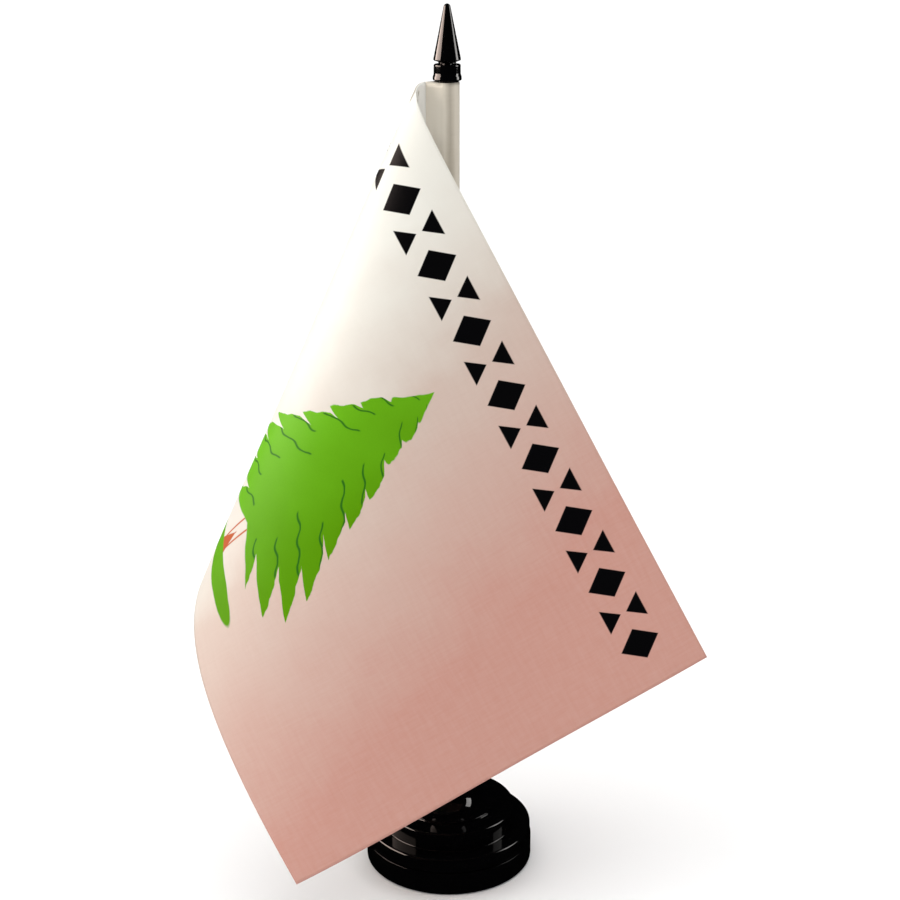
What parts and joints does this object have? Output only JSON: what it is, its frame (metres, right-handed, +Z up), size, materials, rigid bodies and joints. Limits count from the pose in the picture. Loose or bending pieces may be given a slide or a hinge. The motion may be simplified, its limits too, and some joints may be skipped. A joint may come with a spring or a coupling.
{
  "type": "desk flag stand",
  "caption": "Small table flag on a thin pole: weighted stepped round base, spike finial, and a satin flag that hangs curled from its sleeve.",
  "frame": {"origin": "centre of the foam pad's underside, on the pole's axis, where the stand rests on the desk", "axes": "+Z up along the pole, +X to the right, -Y towards the front, where the flag curls across the pole"},
  "size_m": [0.1545, 0.0804, 0.2727],
  "materials": {
    "base_plastic": "high gloss black injection-moulded plastic",
    "pole_plastic": "gloss black extruded plastic",
    "finial_plastic": "high gloss black turned plastic",
    "flag_satin": "printed polyester satin, ivory ground with a printed green tree",
    "sleeve_satin": "plain ivory polyester satin",
    "sewing_thread": "ivory polyester sewing thread",
    "zinc_steel": "zinc-plated steel",
    "pad_foam": "black closed-cell foam"
  },
  "bodies": {
    "base": {"base_pad": "pad_foam", "base_dish": "base_plastic", "base_top": "base_plastic", "ballast_disc": "zinc_steel", "base_screw": "zinc_steel"},
    "plug": {"pole_plug": "base_plastic"},
    "pole": {"pole_tube": "pole_plastic"},
    "finial": {"finial_collar": "finial_plastic", "finial_spike": "finial_plastic"},
    "flag": {"flag_cloth": "flag_satin", "flag_sleeve": "sleeve_satin", "sleeve_thread": "sewing_thread"}
  },
  "joints": [
    {"name": "pole_lift", "type": "slide", "parent": "base", "child": "plug", "axis": [0, 0, 1], "range_m": [0, 0.022]},
    {"name": "pole_turn", "type": "hinge", "parent": "plug", "child": "pole", "pos_m": [0, 0, 0.0318], "axis": [0, 0, 1], "continuous": true},
    {"name": "finial_pull", "type": "slide", "parent": "pole", "child": "finial", "axis": [0, 0, 1], "range_m": [0, 0.008]},
    {"name": "flag_slide", "type": "slide", "parent": "pole", "child": "flag", "axis": [0, 0, 1], "range_m": [-0.016, 0]}
  ]
}
